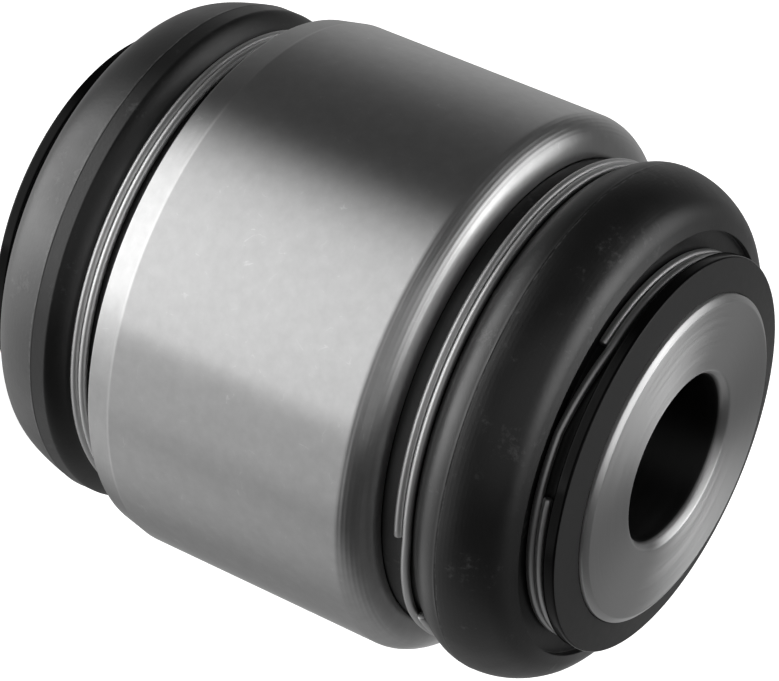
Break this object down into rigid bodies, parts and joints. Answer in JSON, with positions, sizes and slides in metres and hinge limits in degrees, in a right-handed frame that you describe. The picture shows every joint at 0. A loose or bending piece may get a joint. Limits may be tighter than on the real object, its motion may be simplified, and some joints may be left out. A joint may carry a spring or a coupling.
{
  "type": "rubber metal bush",
  "caption": "Press-in rubber and metal bush: a turned steel case round a sleeve with a ball, which turns and tilts, with a bolt bore and a rubber boot at each end.",
  "frame": {"origin": "centre of the ball, on the axis of the bore, halfway between the end faces of the sleeve", "axes": "+Z along the bolt bore, towards the end with the rolled rim; X and Y across"},
  "size_m": [0.046, 0.046, 0.0562],
  "materials": {
    "case_steel": "satin ground",
    "ring_steel": "turned",
    "shell_polymer": "moulded",
    "sleeve_steel": "satin turned",
    "boot_rubber": "matte moulded",
    "spring_wire": "drawn",
    "black_sheet": "satin black coated"
  },
  "bodies": {
    "housing": {"case": "case_steel", "closing_ring": "ring_steel", "shell_front": "shell_polymer", "shell_rear": "shell_polymer", "boot_front": "boot_rubber", "boot_rear": "boot_rubber", "outer_clamp_front": "spring_wire", "outer_clamp_rear": "spring_wire"},
    "boot_ends": {"inner_clamp_front": "spring_wire", "inner_clamp_rear": "spring_wire"},
    "sleeve": {"ball_sleeve": "sleeve_steel", "collar_front": "black_sheet", "collar_rear": "black_sheet"}
  },
  "joints": [
    {"name": "tilt", "type": "hinge", "parent": "housing", "child": "boot_ends", "pos_m": [0, 0, 0], "axis": [1, 0, 0], "range_deg": [-10, 10], "deforming": ["boot_front", "boot_rear"]},
    {"name": "turn", "type": "hinge", "parent": "boot_ends", "child": "sleeve", "pos_m": [0, 0, 0], "axis": [0, 0, 1], "continuous": true}
  ]
}
